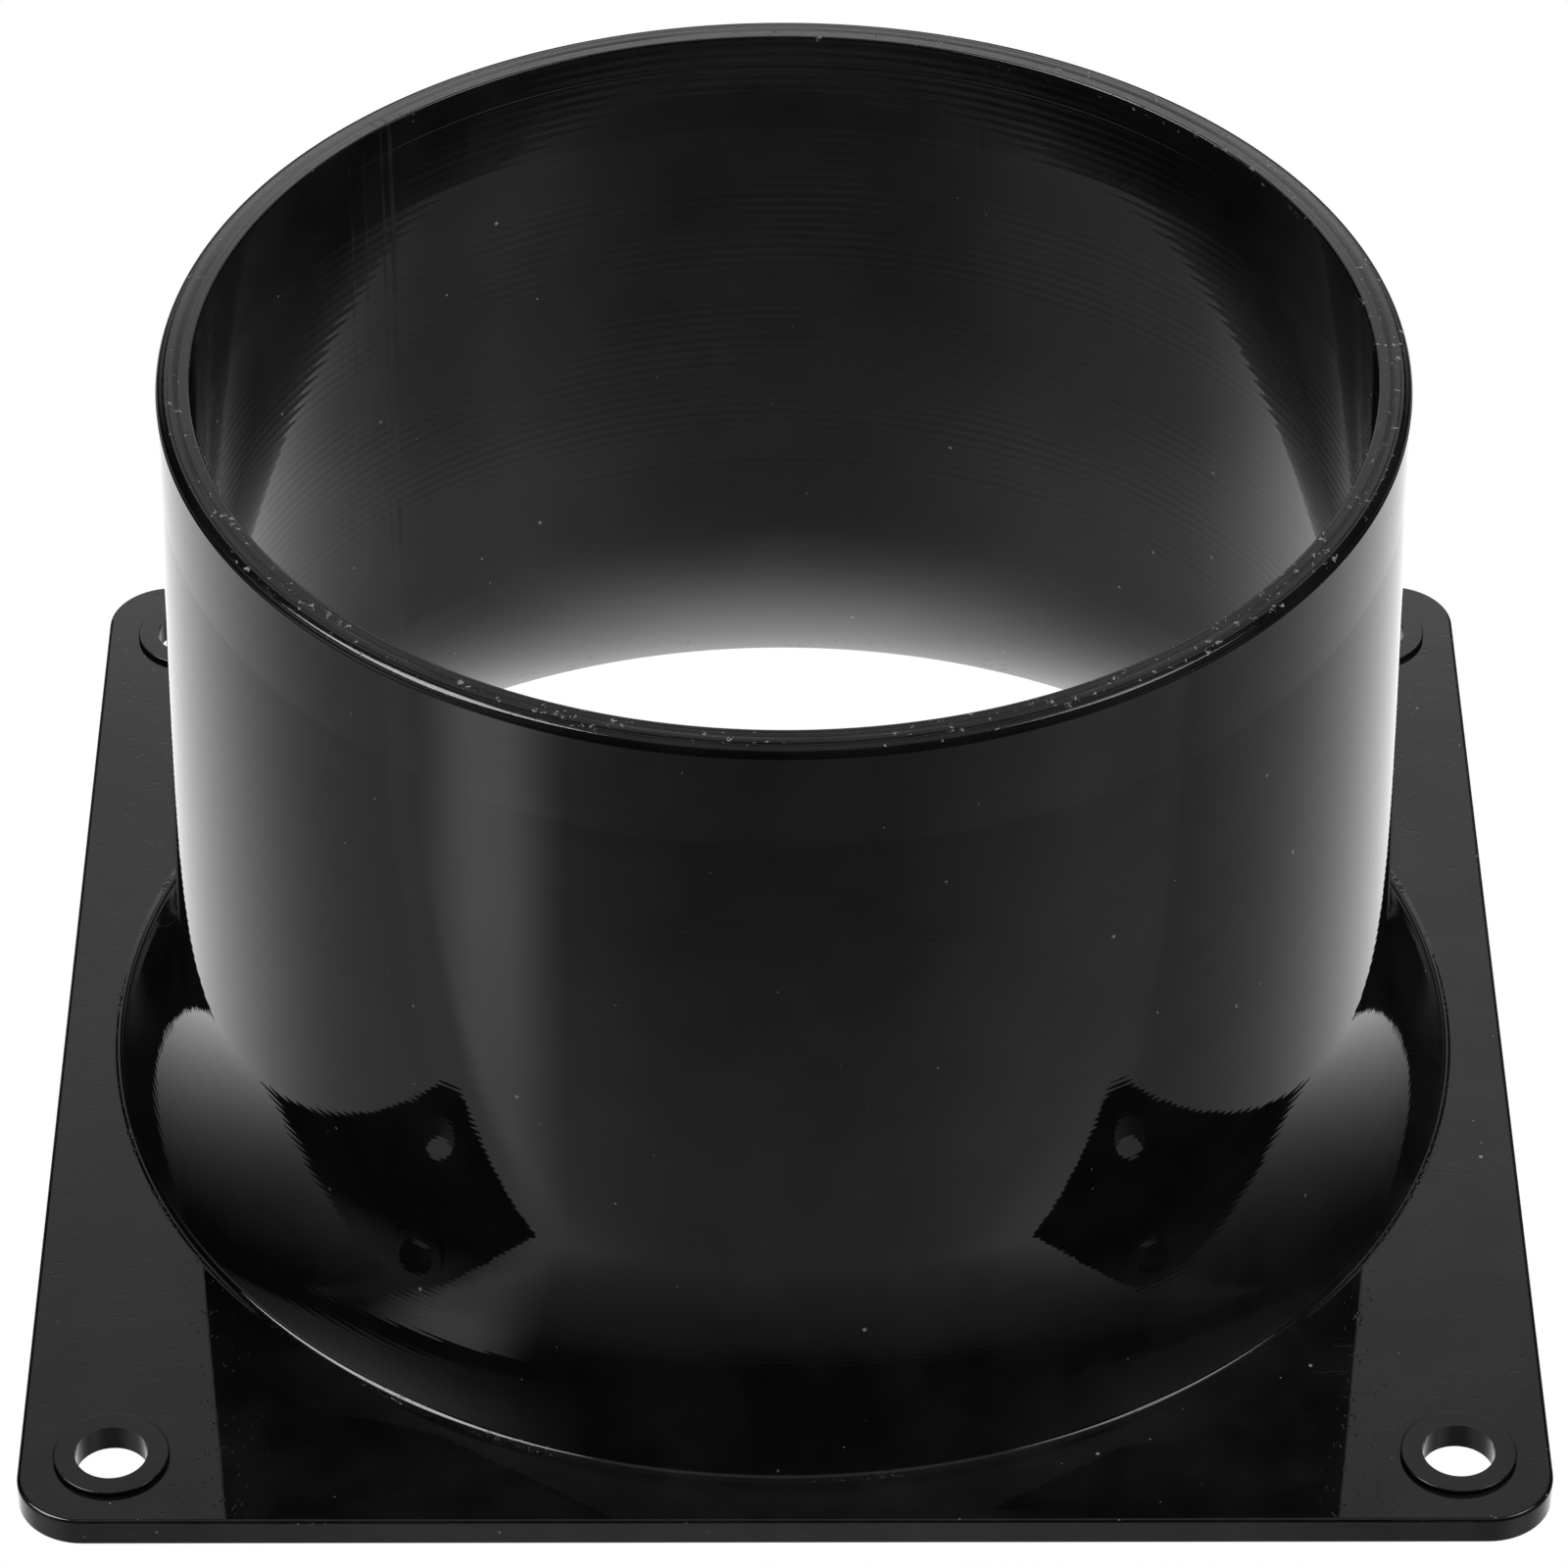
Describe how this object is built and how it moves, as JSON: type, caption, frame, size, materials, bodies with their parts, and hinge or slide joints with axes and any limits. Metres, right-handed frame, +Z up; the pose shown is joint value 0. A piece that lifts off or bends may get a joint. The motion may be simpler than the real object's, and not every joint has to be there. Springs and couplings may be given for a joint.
{
  "type": "toilet flange",
  "caption": "Square mounting plate with a raised ring round each corner screw hole, and a tall round collar that flares into it over a bell-mouthed passage.",
  "frame": {"origin": "centre of the plate's underside, on the collar's axis", "axes": "+Z up the collar's axis, away from the plate; X and Y along the plate's sides"},
  "size_m": [0.1344, 0.1344, 0.0783],
  "materials": {
    "plate_plastic": "glossy black moulded plastic with faint scuffs",
    "collar_plastic": "glossy black moulded plastic with fine turned rings inside",
    "seal_rubber": "matt black rubber"
  },
  "bodies": {
    "root": {"base_plate": "plate_plastic", "flared_collar": "collar_plastic", "seal_ring": "seal_rubber"}
  },
  "joints": []
}
